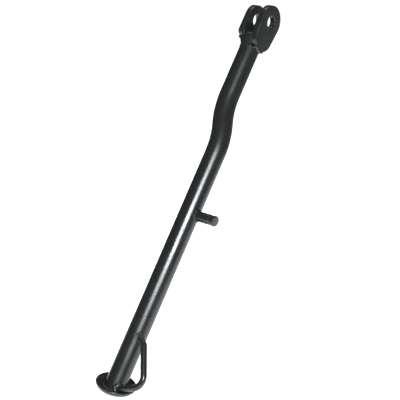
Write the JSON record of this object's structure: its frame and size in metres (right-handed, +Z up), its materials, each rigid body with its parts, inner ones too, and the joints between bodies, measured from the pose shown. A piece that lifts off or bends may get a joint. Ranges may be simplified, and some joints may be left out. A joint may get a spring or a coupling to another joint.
{
  "type": "kickstand",
  "caption": "Welded steel side stand leg: forked pivot head, round tube with a sideways set, grooved spring peg, round dished foot and a bent-rod foot lever.",
  "frame": {"origin": "middle of the pivot bore, halfway across the slot between the two ears", "axes": "+X forward on the motorcycle, +Y outward (left) along the pivot axis, +Z up with the motorcycle upright and the stand swung down"},
  "size_m": [0.2507, 0.0579, 0.3321],
  "materials": {
    "black_paint": "semi-gloss black stove enamel on steel"
  },
  "bodies": {
    "root": {"leg_tube": "black_paint", "clevis_block": "black_paint", "clevis_ear_outer": "black_paint", "clevis_ear_inner": "black_paint", "spring_peg": "black_paint", "foot_plate": "black_paint", "foot_lever": "black_paint", "weld_head": "black_paint", "weld_ear_outer": "black_paint", "weld_ear_inner": "black_paint", "weld_edge_outer": "black_paint", "weld_edge_inner": "black_paint", "weld_peg": "black_paint", "weld_foot": "black_paint", "weld_lever_top": "black_paint", "weld_lever_end": "black_paint"}
  },
  "joints": []
}
